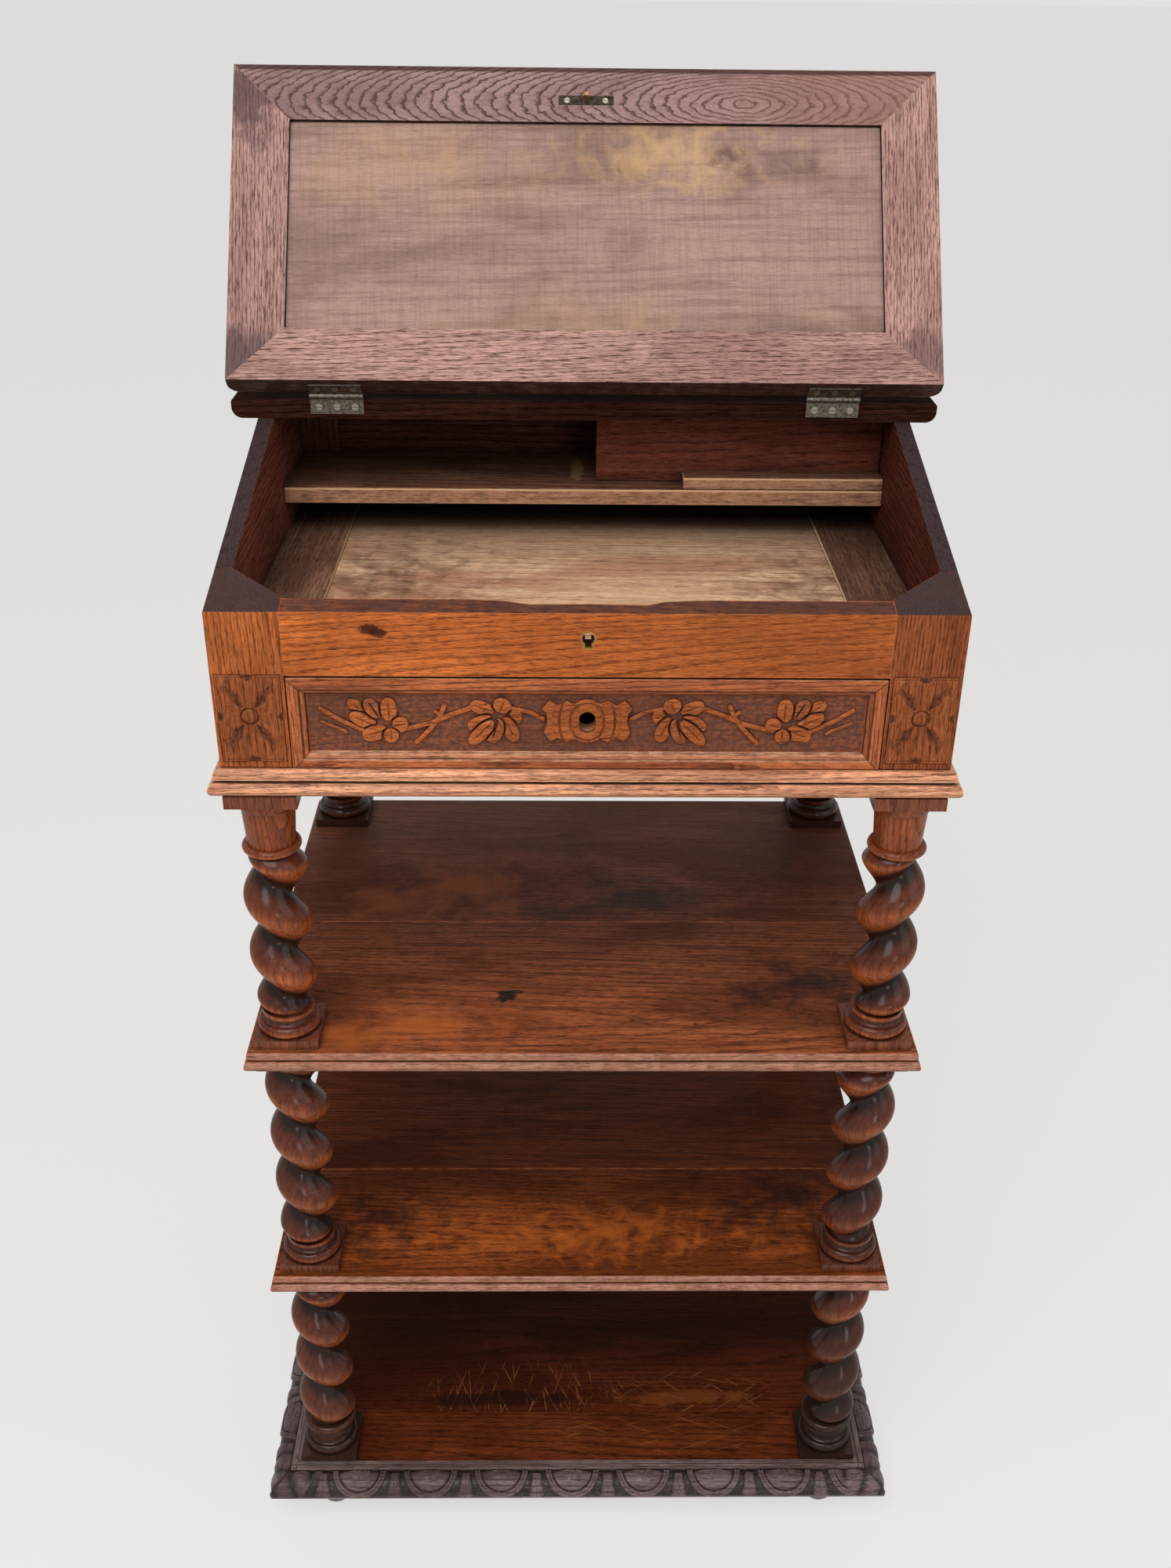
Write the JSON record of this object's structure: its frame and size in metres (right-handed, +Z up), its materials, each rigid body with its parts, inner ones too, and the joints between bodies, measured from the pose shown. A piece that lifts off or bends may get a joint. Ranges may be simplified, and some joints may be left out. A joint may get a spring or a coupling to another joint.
{
  "type": "standing writing desk",
  "caption": "Tall standing desk: sloped case with a framed lid on butt hinges, carved front drawer and small inner drawer, on tiers of twist-turned columns with open shelves.",
  "frame": {"origin": "on the floor under the middle of the base's outline", "axes": "+Z up, -Y towards the person who writes, +X to that person's right"},
  "size_m": [0.6826, 0.512, 1.4548],
  "materials": {
    "column_wood": "glossy dark waxed oak",
    "base_moulding_wood": "nearly black waxed oak, worn brown on the edges",
    "shelf_wood": "red-brown waxed oak, worn on the moulded edges",
    "top_board_wood": "very dark waxed oak",
    "lid_frame_wood": "matt oak, purple brown",
    "lid_panel_wood": "matt oak, grey brown",
    "case_wood": "waxed oak, warm brown",
    "inside_wood": "bare worn oak",
    "old_brass": "worn, tarnished",
    "old_steel": "dark, with brighter worn edges"
  },
  "bodies": {
    "desk": {"back_panel": "inside_wood", "back_rails": "inside_wood", "back_stiles": "inside_wood", "base_back_board": "shelf_wood", "base_front_board": "shelf_wood", "base_front_moulding": "base_moulding_wood", "base_left_moulding": "base_moulding_wood", "base_middle_board": "shelf_wood", "base_right_moulding": "base_moulding_wood", "case_bottom_board": "shelf_wood", "drawer_guides": "inside_wood", "feet": "base_moulding_wood", "front_rail": "case_wood", "hinge_fixed_leaves": "old_steel", "hinge_fixed_screws": "old_steel", "hinge_pins": "old_steel", "inner_drawer_guide": "inside_wood", "inner_shelf": "inside_wood", "keyhole_insert": "old_brass", "left_front_post": "case_wood", "left_side_board": "case_wood", "lower_column_back_left": "column_wood", "lower_column_back_right": "column_wood", "lower_column_front_left": "column_wood", "lower_column_front_right": "column_wood", "lower_shelf_back_board": "shelf_wood", "lower_shelf_front_board": "shelf_wood", "middle_column_back_left": "column_wood", "middle_column_back_right": "column_wood", "middle_column_front_left": "column_wood", "middle_column_front_right": "column_wood", "right_front_post": "case_wood", "right_side_board": "case_wood", "top_board": "top_board_wood", "upper_column_back_left": "column_wood", "upper_column_back_right": "column_wood", "upper_column_front_left": "column_wood", "upper_column_front_right": "column_wood", "upper_shelf_back_board": "shelf_wood", "upper_shelf_front_board": "shelf_wood", "well_floor_ends": "inside_wood", "well_floor_panel": "inside_wood"},
    "lid": {"lid_front_rail": "lid_frame_wood", "lid_back_rail": "lid_frame_wood", "lid_left_stile": "lid_frame_wood", "lid_right_stile": "lid_frame_wood", "lid_panel": "lid_panel_wood", "strike_plate": "old_steel", "strike_pin": "old_brass", "strike_screws": "old_steel", "hinge_lid_leaves": "old_steel", "hinge_lid_screws": "old_steel"},
    "drawer": {"drawer_front": "case_wood", "drawer_sides": "inside_wood", "drawer_back": "inside_wood", "drawer_bottom": "inside_wood"},
    "inner_drawer": {"inner_drawer_walls": "inside_wood", "inner_drawer_ends": "inside_wood", "inner_drawer_bottom": "inside_wood"}
  },
  "joints": [
    {"name": "lid_hinge", "type": "hinge", "parent": "desk", "child": "lid", "pos_m": [0, 0.07775, 1.18126], "axis": [-1, 0, 0], "range_deg": [-139.5, 0]},
    {"name": "drawer_slide", "type": "slide", "parent": "desk", "child": "drawer", "axis": [0, -1, 0], "range_m": [0, 0.3]},
    {"name": "inner_drawer_slide", "type": "slide", "parent": "desk", "child": "inner_drawer", "axis": [-1, 0, 0], "range_m": [0, 0.308]}
  ]
}
